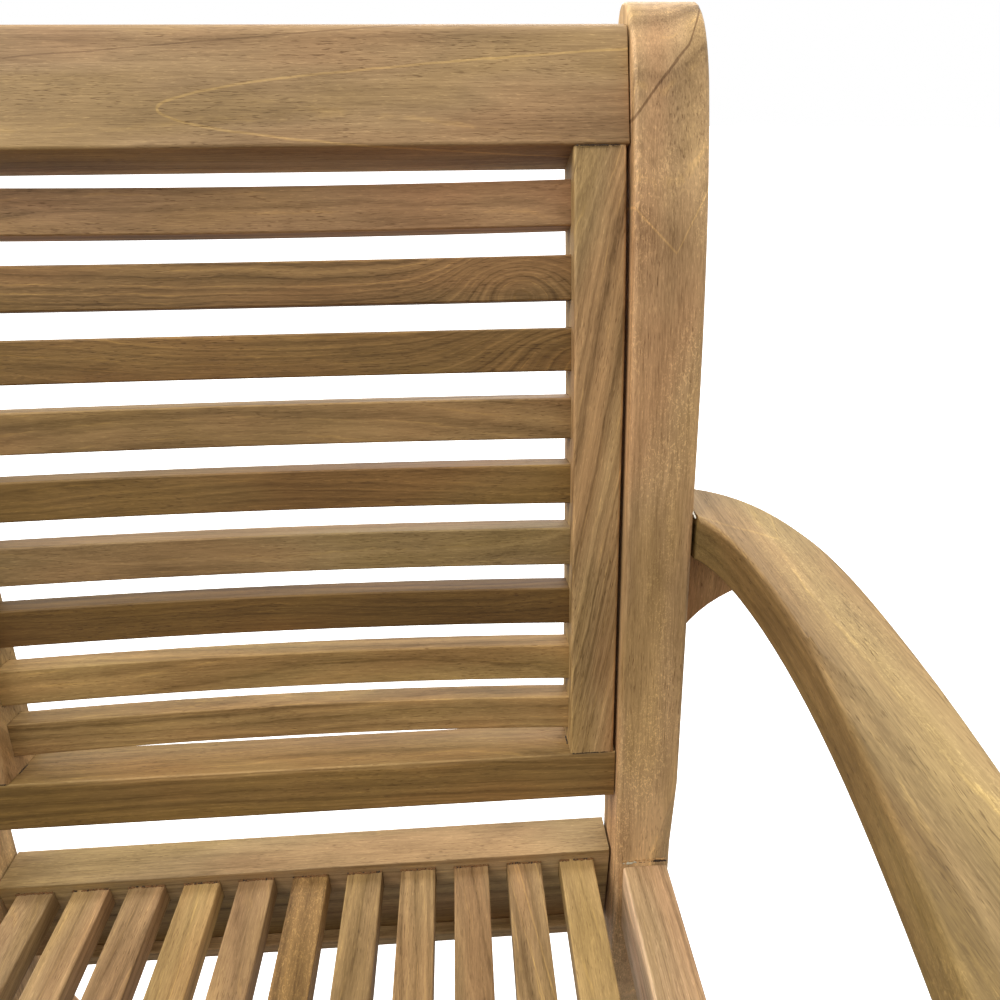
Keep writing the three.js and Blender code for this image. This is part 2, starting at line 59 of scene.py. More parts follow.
SEAT_TILT = math.radians(3)
RAIL_HEIGHT = 81 * MM


def seat_frame():
    low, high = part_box("rear_seat_rail")
    origin = Vector((0, low.y + RAIL_HEIGHT * math.sin(SEAT_TILT), high.z))
    return Matrix.Translation(origin) @ Matrix.Rotation(-SEAT_TILT, 4, "X")


SEAT = seat_frame()


def seat_point(x, y, z):
    """Point of the seat frame, given in millimetres."""
    return SEAT @ (Vector((x, y, z)) * MM)


# ---- Camera, light and floor ----------------------------------------------------------------------

CAMERA_POINT = (121.3, -335.75, 465.52)  # seat frame, millimetres: close in front of the back
CAMERA_TURN = math.radians(-3.341)
CAMERA_DOWN = math.radians(29.32)
CAMERA_ROLL = math.radians(-0.395)
LENS = 24.993
SENSOR_WIDTH = 36
SHIFT_Y = -0.01
NEAR_LIMIT = 0.02


def make_camera():
    data = bpy.data.cameras.new("camera")
    data.lens = LENS
    data.sensor_width = SENSOR_WIDTH
    data.shift_y = SHIFT_Y
    data.clip_start = NEAR_LIMIT
    camera = bpy.data.objects.new("camera", data)
    turn = (
        Matrix.Rotation(CAMERA_TURN, 4, "Z")
        @ Matrix.Rotation(math.pi / 2 - CAMERA_DOWN, 4, "X")
        @ Matrix.Rotation(CAMERA_ROLL, 4, "Z")
    )
    camera.matrix_world = Matrix.Translation(seat_point(*CAMERA_POINT)) @ turn
    bpy.context.scene.collection.objects.link(camera)
    bpy.context.scene.camera = camera


# Name, place, diameter and power of each lamp, and its tint. All aim at the seat.
LAMPS = (
    ("key", (-1.5, -0.5, 2.6), 1.5, 34, (1.0, 0.98, 0.95)),
    ("side", (-2.4, 0.9, 1.3), 1.4, 26, (1.0, 1.0, 1.0)),
    ("back", (0.4, 2.4, 2.0), 1.6, 34, (1.0, 1.0, 1.0)),
)
LAMP_TARGET = (0, 0, 0.5)


def area_light(name, place, size, power, tint):
    data = bpy.data.lights.new(name, "AREA")
    data.shape = "DISK"
    data.size = size
    data.energy = power
    data.color = tint
    lamp = bpy.data.objects.new(name, data)
    aim = Vector(LAMP_TARGET) - Vector(place)
    turn = aim.to_track_quat("-Z", "Y").to_matrix().to_4x4()
    lamp.matrix_world = Matrix.Translation(place) @ turn
    bpy.context.scene.collection.objects.link(lamp)


def make_lights():
    for lamp in LAMPS:
        area_light(*lamp)


# Brightness of the surroundings by height, as the sine of the elevation.
SKY = ((-1.0, 0.50), (-0.3, 0.50), (-0.08, 1.0), (0.16, 1.0), (0.4, 1.5), (1.0, 1.5))
ROOM_DIM = 0.26  # share of that brightness in front of the chair, where the room is dim
ROOM_EDGE = (-0.35, 0.45)  # the dim room ends between these, from front to back


def make_world():
    world = bpy.data.worlds.new("studio")
    world.use_nodes = True
    bpy.context.scene.world = world
    graph = Graph(world.node_tree, clear=True)
    coords = graph.node("ShaderNodeTexCoord").outputs["Generated"]
    axes = graph.node("ShaderNodeSeparateXYZ", [coords]).outputs
    ramp = graph.ramp(
        graph.math("MULTIPLY_ADD", axes["Z"], 0.5, 0.5),
        [((sine + 1) / 2, (level, level, level, 1)) for sine, level in SKY],
    )
    back = graph.math("ADD", axes["Y"], graph.math("ABSOLUTE", axes["Z"]))
    behind = graph.smooth(back, *ROOM_EDGE)
    strength = graph.math("MULTIPLY_ADD", behind, 1 - ROOM_DIM, ROOM_DIM)
    shade = graph.node("ShaderNodeBackground", {"Color": ramp, "Strength": strength})
    graph.node("ShaderNodeOutputWorld", {"Surface": shade.outputs[0]})


FLOOR_RADIUS = 30
FLOOR_COLOR = (0.86, 0.86, 0.86, 1)
FLOOR_ROUGHNESS = 0.8
FLOOR_GLOW = 0.75


def make_floor():
    bm = bmesh.new()
    bmesh.ops.create_circle(bm, cap_ends=True, segments=96, radius=FLOOR_RADIUS)
    floor = link_mesh("floor", bm)
    material = bpy.data.materials.new("pale floor")
    material.use_nodes = True
    shader = material.node_tree.nodes["Principled BSDF"]
    shader.inputs["Base Color"].default_value = FLOOR_COLOR
    shader.inputs["Roughness"].default_value = FLOOR_ROUGHNESS
    shader.inputs["Emission Color"].default_value = (1, 1, 1, 1)
    shader.inputs["Emission Strength"].default_value = FLOOR_GLOW
    floor.data.materials.append(material)
    floor.visible_diffuse = False
    floor.visible_glossy = False


# ---- Node graphs ----------------------------------------------------------------------------------


class Graph:
    """Adds nodes to a tree; an input is given as a value or as the socket that feeds it."""

    def __init__(self, tree, clear=False):
        self.tree = tree
        if clear:
            tree.nodes.clear()

    def node(self, kind, inputs=(), **settings):
        node = self.tree.nodes.new(kind)
        for key, value in settings.items():
            setattr(node, key, value)
        pairs = inputs.items() if isinstance(inputs, dict) else enumerate(inputs)
        for key, value in pairs:
            if isinstance(value, bpy.types.NodeSocket):
                self.tree.links.new(value, node.inputs[key])
            else:
                node.inputs[key].default_value = value
        return node

    def math(self, operation, *values):
        return self.node("ShaderNodeMath", values, operation=operation).outputs[0]

    def vector(self, operation, *values):
        node = self.node("ShaderNodeVectorMath", values, operation=operation)
        return node.outputs["Value" if operation in ("LENGTH", "DISTANCE") else "Vector"]

    def stretch(self, vector, along, across):
        return self.vector("MULTIPLY", vector, (along, across, across))

    def noise(self, vector, detail=2.0, rough=0.5, output="Fac"):
        inputs = {"Vector": vector, "Scale": 1.0, "Detail": detail, "Roughness": rough}
        return self.node("ShaderNodeTexNoise", inputs).outputs[output]

    def field(self, place, shape):
        """Noise in the wood, from its frequencies along and across the grain, detail and roughness."""
        along, across, detail, rough = shape
        return self.noise(self.stretch(place, along, across), detail, rough)

    def smooth(self, value, low, high):
        """0 below low, 1 above high, smooth between."""
        inputs = {"Value": value, "From Min": low, "From Max": high}
        node = self.node("ShaderNodeMapRange", inputs, interpolation_type="SMOOTHSTEP")
        return node.outputs[0]

    def mix(self, factor, first, second, blend="MIX"):
        node = self.node("ShaderNodeMix", data_type="RGBA", blend_type=blend)
        sockets = (node.inputs[0], node.inputs[6], node.inputs[7])
        for socket, value in zip(sockets, (factor, first, second)):
            if isinstance(value, bpy.types.NodeSocket):
                self.tree.links.new(value, socket)
            else:
                socket.default_value = value
        return node.outputs[2]

    def tint(self, factor, color, share):
        """The colour, or where the factor is 1 its product with the share."""
        return self.mix(factor, color, share, "MULTIPLY")

    def ramp(self, value, stops):
        node = self.node("ShaderNodeValToRGB", [value])
        ramp = node.color_ramp
        while len(ramp.elements) < len(stops):
            ramp.elements.new(0.5)
        for element, (position, color) in zip(ramp.elements, stops):
            element.position = position
            element.color = color
        return node.outputs["Color"]


# ---- Teak -----------------------------------------------------------------------------------------

TEAK_INPUTS = (
    ("Place", "Vector"),
    ("Seed", "Float"),
    ("Pith", "Vector"),
    ("Ring", "Float"),
    ("Tint", "Color"),
    ("Figure", "Float"),
    ("Line", "Float"),
    ("Fleck", "Float"),
    ("Knot", "Vector"),
    ("Knot size", "Float"),
    ("Sapwood", "Float"),
    ("Mark", "Float"),
)
# Shares that a board's own colour is multiplied by, one for each feature of the wood.
LIGHT_SHARE = (1.50, 1.50, 1.54, 1)
DARK_SHARE = (0.50, 0.46, 0.40, 1)
WARM_SHARE = (1.03, 0.94, 0.93, 1)
OLIVE_SHARE = (0.98, 0.98, 0.87, 1)
PORE_SHARE = (0.42, 0.35, 0.28, 1)
LINE_SHARE = (1.40, 1.40, 1.22, 1)
FLECK_SHARE = (1.45, 1.50, 1.50, 1)
SAP_SHARE = (1.52, 1.60, 1.92, 1)
# Pale arrises: partly real wear, partly a painted highlight where the eased edges catch the light.
WEAR_AND_HIGHLIGHT_SHARE = (1.22, 1.24, 1.28, 1)

# Noise in the wood: frequency along and across the grain (per metre), detail, roughness.
STREAK = (4, 170, 4, 0.62)
FIBRE = (45, 1100, 2, 0.7)
BLOTCH = (7, 24, 3, 0.55)
HUE = (5, 22, 2, 0.5)
BREAK = (30, 90, 3, 0.6)
CROWD = (14, 60, 2, 0.5)
PORE = (170, 1700, 1, 0.4)
DASH = (230, 1600, 1, 0.4)
PATCH = (9, 26, 2, 0.5)
# The curled flecks' and the growth layers' own noise.
CURL = {"Scale": 1.0, "Detail": 2.0, "Distortion": 1.6}
CURL_STRETCH = (330, 560)
LAYER = {"Scale": 1.15, "Detail": 5.0, "Roughness": 0.62}
# Values of that noise between which a feature goes from absent to full.
WARM_RANGE = (0.45, 0.66)
OLIVE_RANGE = (0.50, 0.34)
BREAK_RANGE = (0.42, 0.62)
CROWD_RANGE = (0.38, 0.66)
PORE_RANGE = (0.58, 0.74)
DASH_RANGE = (0.60, 0.74)
CURL_RANGE = (0.53, 0.63)
PATCH_RANGE = (0.40, 0.60)
SAP_RANGE = (-0.001, 0.001)  # metres past the sapwood's edge
LINE_RANGE = (0.02, 0.07)  # share of a ring, from full to absent
# Strength of each in the tone.
LAYER_STRENGTH = 1.1
STREAK_STRENGTH = 0.62
FIBRE_STRENGTH = 0.85
BLOTCH_STRENGTH = 1.05
# Strength of the pores and the dashes as colours laid over it.
PORE_STRENGTH = 0.75
DASH_STRENGTH = 0.50
PORE_CROWDING = (0.75, 0.25)  # what crowding adds to the pores, and what stands everywhere
# Relief, gloss and the pale arrises: gain and offset, or a share. The pale arrises are partly real wear,
# partly a painted highlight.
WEAR_AND_HIGHLIGHT_BY_STREAK = (1.6, -0.1)
ROUGHNESS_BY_STREAK = (0.2, 0.52)
WEAR_GLOSS = 0.1
FIBRE_RELIEF = 0.6
PORE_RELIEF = -0.8
RELIEF = {"Strength": 0.4, "Distance": 0.0004}
SPECULAR = 0.28
# Moves that keep the boards, the hues and the flecks from sharing one noise.
SEED_DRIFT = (0.71, 0.43, 0.29)
HUE_DRIFT = (3.1, 1.7, 0.4)
FLECK_DRIFT = (0.9, 2.3, 5.1)
# How the pith wanders: frequency along and across, and reach in metres. The last one is its long sway.
PITH_SWAYS = ((110, 420, 0.0012), (16, 60, 0.0040), (2.6, 9, 0.030))
PITH_STRETCH = (0.04, 1, 1)  # rings are long along the grain
KNOT_STRETCH = (0.55, 1, 1)
KNOT_SWELL = 1.3  # how far a knot pushes the rings out, as a share of its size


def teak_group():
    """Solid teak: Place is the point in the board, its X along the grain, in metres."""
    tree = bpy.data.node_groups.new("teak", "ShaderNodeTree")
    for name, kind in TEAK_INPUTS:
        tree.interface.new_socket(name, in_out="INPUT", socket_type="NodeSocket" + kind)
    tree.interface.new_socket("Shader", in_out="OUTPUT", socket_type="NodeSocketShader")
    graph = Graph(tree)
    given = graph.node("NodeGroupInput").outputs
    drift = graph.node("ShaderNodeCombineXYZ", [given["Seed"]] * 3).outputs[0]
    place = graph.vector("ADD", given["Place"], graph.vector("MULTIPLY", drift, SEED_DRIFT))

    phase, radius = growth(graph, given, place)
    streak = graph.field(place, STREAK)
    fibre = graph.field(place, FIBRE)
    pores = pore_value(graph, place)
    # Mask of the pale arrises along the middle of each bevel: real wear plus a painted highlight.
    wear_and_highlight = graph.node("ShaderNodeAttribute", attribute_name="wear_and_highlight").outputs["Fac"]
    wear_and_highlight = graph.math("MULTIPLY", wear_and_highlight, graph.math("MULTIPLY_ADD", streak, *WEAR_AND_HIGHLIGHT_BY_STREAK))

    tone = tone_value(graph, given, place, phase, streak, fibre)
    color = body_color(graph, given, place, tone)
    color = ring_color(graph, given, place, color, phase, radius)
    color = graph.tint(graph.math("MULTIPLY", pores, PORE_STRENGTH), color, PORE_SHARE)
    color = fleck_color(graph, given, place, color)
    # Paints the arrises paler, for wear and as a painted highlight.
    color = graph.tint(wear_and_highlight, color, WEAR_AND_HIGHLIGHT_SHARE)

    height = graph.math("MULTIPLY", pores, PORE_RELIEF)
    height = graph.math("MULTIPLY_ADD", fibre, FIBRE_RELIEF, height)
    bump = graph.node("ShaderNodeBump", {"Height": height, **RELIEF})
    rough = graph.math("MULTIPLY_ADD", streak, *ROUGHNESS_BY_STREAK)
    rough = graph.math("SUBTRACT", rough, graph.math("MULTIPLY", wear_and_highlight, WEAR_GLOSS))
    inputs = {"Base Color": color, "Roughness": rough, "Specular IOR Level": SPECULAR,
              "Normal": bump.outputs[0]}
    shader = graph.node("ShaderNodeBsdfPrincipled", inputs)
    graph.node("NodeGroupOutput", [shader.outputs[0]])
    return tree


def growth(graph, given, place):
    """Growth-ring count at a point, and its distance from the pith without the pith's long sway."""
    centred = (-0.5, -0.5, -0.5)
    point = given["Place"]
    for along, across, reach in PITH_SWAYS:
        calm = point
        sway = graph.noise(graph.stretch(place, along, across), detail=1, output="Color")
        sway = graph.vector("MULTIPLY", graph.vector("ADD", sway, centred), (0, reach, reach))
        point = graph.vector("ADD", point, sway)
    offset = graph.vector("MULTIPLY", graph.vector("SUBTRACT", point, given["Pith"]), PITH_STRETCH)
    calm = graph.vector("MULTIPLY", graph.vector("SUBTRACT", calm, given["Pith"]), (0, 1, 1))
    away = graph.vector("MULTIPLY", graph.vector("SUBTRACT", point, given["Knot"]), KNOT_STRETCH)
    near = graph.math("DIVIDE", graph.vector("LENGTH", away), given["Knot size"])
    swell = graph.math("EXPONENT", graph.math("MULTIPLY", graph.math("MULTIPLY", near, near), -1))
    swell = graph.math("MULTIPLY", swell, graph.math("MULTIPLY", given["Knot size"], KNOT_SWELL))
    radius = graph.math("ADD", swell, graph.vector("LENGTH", offset))
    return graph.math("DIVIDE", radius, given["Ring"]), graph.vector("LENGTH", calm)


def tone_value(graph, given, place, phase, streak, fibre):
    """How dark the wood is, 0 to 1, from its growth layers, streaks, fibres and blotches."""
    layer = graph.node("ShaderNodeTexNoise", {"W": phase, **LAYER}, noise_dimensions="1D").outputs["Fac"]
    figure = graph.math("MULTIPLY", given["Figure"], LAYER_STRENGTH)
    tone = graph.math("MULTIPLY_ADD", graph.math("SUBTRACT", layer, 0.5), figure, 0.5)
    blotch = graph.field(place, BLOTCH)
    fields = ((streak, STREAK_STRENGTH), (fibre, FIBRE_STRENGTH), (blotch, BLOTCH_STRENGTH))
    for field, strength in fields:
        tone = graph.math("ADD", tone, graph.math("MULTIPLY_ADD", field, strength, -strength / 2))
    return graph.math("MINIMUM", graph.math("MAXIMUM", tone, 0), 1)


def body_color(graph, given, place, tone):
    """The board's colour by its tone, with warm and olive patches."""
    light = graph.tint(1.0, given["Tint"], LIGHT_SHARE)
    dark = graph.tint(1.0, given["Tint"], DARK_SHARE)
    color = graph.mix(tone, light, dark)
    hue = graph.field(graph.vector("ADD", place, HUE_DRIFT), HUE)
    color = graph.tint(graph.smooth(hue, *WARM_RANGE), color, WARM_SHARE)
    return graph.tint(graph.smooth(hue, *OLIVE_RANGE), color, OLIVE_SHARE)


def ring_color(graph, given, place, color, phase, radius):
    """Adds the pale sapwood, the broken pale line of each growth ring, and the board's marks."""
    sap = graph.smooth(graph.math("SUBTRACT", radius, given["Sapwood"]), *SAP_RANGE)
    color = graph.tint(sap, color, SAP_SHARE)
    off_line = graph.math("ABSOLUTE", graph.math("SUBTRACT", graph.math("FRACT", phase), 0.5))
    broken = graph.smooth(graph.field(place, BREAK), *BREAK_RANGE)
    solid = graph.math("SUBTRACT", 1, graph.smooth(off_line, *LINE_RANGE))
    line = graph.math("MULTIPLY", solid, broken)
    color = graph.tint(graph.math("MULTIPLY", line, given["Line"]), color, LINE_SHARE)
    color = graph.tint(graph.smooth(given["Mark"], 0, 1), color, LINE_SHARE)
    return graph.tint(graph.smooth(given["Mark"], 0, -1), color, PORE_SHARE)


def pore_value(graph, place):
    """Short dark pores, crowded in some places."""
    crowd = graph.smooth(graph.field(place, CROWD), *CROWD_RANGE)
    pores = graph.smooth(graph.field(place, PORE), *PORE_RANGE)
    return graph.math("MULTIPLY", pores, graph.math("MULTIPLY_ADD", crowd, *PORE_CROWDING))


def fleck_color(graph, given, place, color):
    """Adds short pale dashes, and patches of curled pale flecks."""
    pale = graph.vector("ADD", place, FLECK_DRIFT)
    dash = graph.smooth(graph.field(pale, DASH), *DASH_RANGE)
    color = graph.tint(graph.math("MULTIPLY", dash, DASH_STRENGTH), color, FLECK_SHARE)
    inputs = {"Vector": graph.stretch(pale, *CURL_STRETCH), **CURL}
    curl = graph.smooth(graph.node("ShaderNodeTexNoise", inputs).outputs["Fac"], *CURL_RANGE)
    patch = graph.smooth(graph.field(pale, PATCH), *PATCH_RANGE)
    fleck = graph.math("MULTIPLY", graph.math("MULTIPLY", curl, given["Fleck"]), patch)
    return graph.tint(fleck, color, FLECK_SHARE)


GRAIN_TURNS = {
    "X": Matrix.Identity(3),
    "Y": Matrix.Rotation(-math.pi / 2, 3, "Z"),
    "Z": Matrix.Rotation(math.pi / 2, 3, "Y"),
}
NO_KNOT = (9000, 9000, 9000)


@dataclass
class Board:
    """How one board was sawn: its grain direction, the pith's place beside it and its own colour.

    Lengths are in millimetres and angles in radians.
    """

    grain: str  # X, Y or Z, the direction the board runs
    tint: tuple
    pith: tuple = (50, -90)
    ring: float = 5  # mean thickness of a growth ring
    figure: float = 1.0  # contrast of the growth layers
    line: float = 0.5  # strength of the pale line in each ring
    fleck: float = 0.0  # strength of the curled pale flecks
    knot: tuple = NO_KNOT
    knot_size: float = 20
    sapwood: float = 1000  # distance from the pith at which the pale sapwood starts
    lean: float = 0.0  # turn of the grain about X
    skew: float = 0.0  # and about Y


def srgb(red, green, blue):
    """Linear colour with alpha from 0-255 display values."""
    linear = [((c / 255 + 0.055) / 1.055) ** 2.4 for c in (red, green, blue)]
    return (*linear, 1)


@dataclass
class Mark:
    """A line in the figure, in board millimetres: it bends or curves about (along, across).

    It runs as along = slope * across + bend * |across| + curve * across ** 2 from that point, with
    across on the board's own Y or Z axis; a strength above 0 makes it pale, below 0 dark.
    """

    along: float
    across: float
    slope: float = 0.0
    bend: float = 0.0
    curve: float = 0.0
    half_width: float = 0.5
    strength: float = 1.0
    axis: str = "Z"


# Marks by node, from the middle of the board's box. Along runs up a post, to the right in a rail and to
# the back in a seat slat or arm.
MARKS = {
    "rear_post_right": (
        Mark(454.6, -10.7, slope=-1.78, bend=0.55, half_width=0.7, strength=-0.75),
        Mark(345, -3.3, slope=-0.48, bend=1.52, half_width=0.6, strength=0.75),
    ),
    "rear_post_left": (Mark(300, 4, bend=2.4, half_width=0.6, strength=0.6),),
    "top_rail": (
        Mark(-34.8, -3.0, curve=0.34, half_width=0.8, strength=0.9),
        Mark(-52, 25.3, slope=14, half_width=0.5, strength=-0.5),
    ),
    "seat_slat_10": (
        Mark(205, 8, slope=5.7, half_width=0.8, strength=0.8, axis="Y"),
        Mark(160, 8, slope=5.2, half_width=0.5, strength=0.6, axis="Y"),
    ),
    "arm_right": (Mark(184, -31, slope=-1.6, bend=2.4, half_width=0.6, strength=0.5, axis="Y"),),
}
MARK_SWAY = 1.6 * MM
MARK_WAVE = (60, 60, 4, 0.6)
MARK_CORE = 0.3  # the share of a mark's half width that has its full strength


def marks_value(graph, place, marks):
    """Sum of a board's marks: above 0 where pale, below 0 where dark."""
    if not marks:
        return 0.0
    wave = graph.field(place, MARK_WAVE)
    axes = graph.node("ShaderNodeSeparateXYZ", [place]).outputs
    total = 0.0
    for mark in marks:
        width = mark.half_width * MM
        curve = mark.curve / MM
        along = graph.math("SUBTRACT", axes["X"], mark.along * MM)
        across = graph.math("SUBTRACT", axes[mark.axis], mark.across * MM)
        size = graph.math("ABSOLUTE", across)
        run = graph.math("MULTIPLY_ADD", graph.math("MULTIPLY", across, across), curve, 0.0)
        run = graph.math("MULTIPLY_ADD", across, mark.slope, run)
        run = graph.math("MULTIPLY_ADD", size, mark.bend, run)
        steepness = math.hypot(1, abs(mark.slope) + abs(mark.bend))
        steep = graph.math("MULTIPLY_ADD", size, 2 * curve, steepness)
        off = graph.math("DIVIDE", graph.math("SUBTRACT", along, run), steep)
        off = graph.math("ADD", off, graph.math("MULTIPLY_ADD", wave, MARK_SWAY, -MARK_SWAY / 2))
        near = graph.smooth(graph.math("ABSOLUTE", off), width, MARK_CORE * width)
        total = graph.math("MULTIPLY_ADD", near, mark.strength, total)
    return total


def teak_material(name, board, seed, centre, group):
    material = bpy.data.materials.new("teak " + name)
    material.use_nodes = True
    graph = Graph(material.node_tree, clear=True)
    coords = graph.node("ShaderNodeTexCoord").outputs["Object"]
    local = graph.vector("SUBTRACT", coords, centre)
    turn = Matrix.Rotation(board.lean, 3, "X") @ Matrix.Rotation(board.skew, 3, "Y")
    turn = GRAIN_TURNS[board.grain] @ turn
    mapping = graph.node("ShaderNodeMapping", {"Vector": local, "Rotation": turn.to_euler()})
    inputs = {
        "Place": mapping.outputs[0],
        "Seed": float(seed),
        "Pith": (0.0, board.pith[0] * MM, board.pith[1] * MM),
        "Ring": board.ring * MM,
        "Tint": board.tint,
        "Figure": board.figure,
        "Line": board.line,
        "Fleck": board.fleck,
        "Knot": Vector(board.knot) * MM,
        "Knot size": board.knot_size * MM,
        "Sapwood": board.sapwood * MM,
        "Mark": marks_value(graph, mapping.outputs[0], MARKS.get(name, ())),
    }
    shader = graph.node("ShaderNodeGroup", node_tree=group)
    for key, value in inputs.items():
        if isinstance(value, bpy.types.NodeSocket):
            graph.tree.links.new(value, shader.inputs[key])
        else:
            shader.inputs[key].default_value = value
    graph.node("ShaderNodeOutputMaterial", {"Surface": shader.outputs[0]})
    return material


# ---- Shapes ---------------------------------------------------------------------------------------

ARRIS_ANGLE = math.radians(30)  # edges sharper than this are eased
SHARP_ANGLE = math.radians(24)  # and edges sharper than this stay crisp in the shading
FLAT_ANGLE = math.radians(0.4)  # faces closer than this are one face
ARRIS_SEGMENTS = 3
BEVEL_SLOT = 1  # the material slot that tells a bevel's faces from the others, until they are applied
WELD = 1e-6
END_GRAIN = 0.9  # how nearly an end-grain face looks along the grain
MORTISE_SIGHT = 0.09  # a face that looks at its own piece within this distance is a mortise wall
MORTISE_STEP = 1e-5


def link_mesh(name, bm):
    mesh = bpy.data.meshes.new(name)
    bm.normal_update()
    bm.to_mesh(mesh)
    bm.free()
    piece = bpy.data.objects.new(name, mesh)
    bpy.context.scene.collection.objects.link(piece)
    return piece


def mortise_walls(bm):
    """Faces inside a mortise, housing or hole of the piece."""
    tree = BVHTree.FromBMesh(bm)
    found = set()
    for face in bm.faces:
        start = face.calc_center_median() + face.normal * MORTISE_STEP
        if tree.ray_cast(start, face.normal, MORTISE_SIGHT)[0] is not None:
            found.add(face.index)
    return found


def weight_arrises(bm, grain, end_share):
    """Bevel weights: 1 on outer arrises, end_share on those round an end-grain face, 0 elsewhere."""
    layer = bm.edges.layers.float.new("bevel_weight_edge")
    walls = mortise_walls(bm)
    for edge in bm.edges:
        if len(edge.link_faces) != 2 or not edge.is_convex:
            continue
        if edge.calc_face_angle(0) < ARRIS_ANGLE or any(f.index in walls for f in edge.link_faces):
            continue
        ends = any(abs(face.normal.dot(grain)) > END_GRAIN for face in edge.link_faces)
        edge[layer] = end_share if ends else 1.0


def eased(node, name, width, grain, end_share, gap):
    """Piece with a CAD node's shape, its arrises rounded to width and its shoulders drawn back by gap.

    Both are in millimetres; end_share is the share of the width that end-grain arrises get.
    """
    bm = bmesh.new()
    bm.from_mesh(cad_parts[node].data)
    bmesh.ops.remove_doubles(bm, verts=bm.verts, dist=WELD)
    bmesh.ops.dissolve_limit(bm, angle_limit=FLAT_ANGLE, verts=bm.verts, edges=bm.edges)
    open_joint(bm, gap)
    bm.faces.ensure_lookup_table()
    bm.normal_update()
    weight_arrises(bm, grain, end_share)
    rough = link_mesh(name + "_blank", bm)
    bevel = rough.modifiers.new("arrises", "BEVEL")
    bevel.limit_method = "WEIGHT"
    bevel.width = width * MM
    bevel.segments = ARRIS_SEGMENTS
    bevel.use_clamp_overlap = False
    bevel.material = BEVEL_SLOT
    piece = applied(rough, name)
    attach(piece, "root")
    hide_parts(node)
    return piece


def applied(rough, name):
    """Piece with the blank's bevels as mesh, and a value of 1 along the middle of each bevel for the
    pale arrises, partly real wear and partly a painted highlight.
    """
    for _ in range(BEVEL_SLOT + 1):
        rough.data.materials.append(None)
    rough.data.shade_smooth()
    rough.data.set_sharp_from_angle(angle=SHARP_ANGLE)
    graph = bpy.context.evaluated_depsgraph_get()
    mesh = bpy.data.meshes.new_from_object(rough.evaluated_get(graph))
    mesh.name = name
    mid_bevel = [True] * len(mesh.vertices)
    for face in mesh.polygons:
        for vertex in face.vertices:
            mid_bevel[vertex] = mid_bevel[vertex] and face.material_index == BEVEL_SLOT
    for face in mesh.polygons:
        face.material_index = 0
    # Stored for the teak's pale arrises: real wear and a painted highlight.
    wear_and_highlight = mesh.attributes.new("wear_and_highlight", "FLOAT", "POINT")
    wear_and_highlight.data.foreach_set("value", [float(value) for value in mid_bevel])
    mesh.materials.clear()
    piece = bpy.data.objects.new(name, mesh)
    bpy.context.scene.collection.objects.link(piece)
    bpy.data.objects.remove(rough)
    normals = piece.modifiers.new("normals", "WEIGHTED_NORMAL")
    normals.keep_sharp = True
    return piece


POST_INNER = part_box("back_stile_right")[1].x
AT_POST = 0.5 * MM  # vertices this near the plane of a post's inner face lie in it
# How far a board's shoulder stands off the post, in millimetres.
POST_GAPS = {"back_stile": 2.0, "rear_seat_rail": 1.3, "top_rail": 0.6, "bottom_back_rail": 0.5}


def open_joint(bm, gap):
    """Draws a board's shoulders back from the posts' inner faces."""
    for vert in bm.verts:
        if abs(abs(vert.co.x) - POST_INNER) < AT_POST:
            vert.co.x -= math.copysign(gap * MM, vert.co.x)


# ---- Boards ---------------------------------------------------------------------------------------

AXES = {"X": Vector((1, 0, 0)), "Y": Vector((0, 1, 0)), "Z": Vector((0, 0, 1))}
POST_LEAN = math.radians(13)

# From the lowest back slat up.
BACK_SLAT_BOARDS = [
    Board("X", srgb(156, 127, 80), pith=(30, 60), ring=5),
    Board("X", srgb(158, 130, 80), pith=(60, -50), ring=6),
    Board("X", srgb(104, 78, 40), pith=(50, 40), ring=4),
    Board("X", srgb(142, 118, 78), pith=(90, 20), ring=5, fleck=0.2),
    Board("X", srgb(124, 96, 54), pith=(-50, 50), ring=4),
    Board("X", srgb(144, 115, 73), pith=(40, -50), ring=6),
    Board("X", srgb(132, 102, 58), pith=(50, 30), ring=4, figure=1.4, line=0.8, knot=(200, -6, -6),
          knot_size=30),
    Board("X", srgb(136, 106, 65), pith=(30, 30), ring=3, figure=1.6, line=0.9, knot=(158, -8, 2),
          knot_size=20),
    Board("X", srgb(157, 123, 84), pith=(60, -40), ring=5),
]
# From the left to the right.
SEAT_SLAT_BOARDS = [
    Board("Y", srgb(152, 124, 86), pith=(20, 90), ring=5),
    Board("Y", srgb(163, 133, 91), pith=(50, 60), ring=6),
    Board("Y", srgb(150, 121, 82), pith=(-40, 50), ring=5),
    Board("Y", srgb(162, 134, 84), pith=(30, 50), ring=6),
    Board("Y", srgb(152, 121, 82), pith=(20, 70), ring=5),
    Board("Y", srgb(138, 106, 64), pith=(40, 50), ring=5, fleck=1.0),
    Board("Y", srgb(145, 117, 76), pith=(-30, 60), ring=5),
    Board("Y", srgb(150, 121, 79), pith=(50, 40), ring=5),
    Board("Y", srgb(141, 114, 75), pith=(20, 80), ring=4),
    Board("Y", srgb(152, 123, 82), pith=(40, 50), ring=5, line=0.9),
    Board("Y", srgb(164, 135, 86), pith=(30, 70), ring=9, figure=0.7),
]
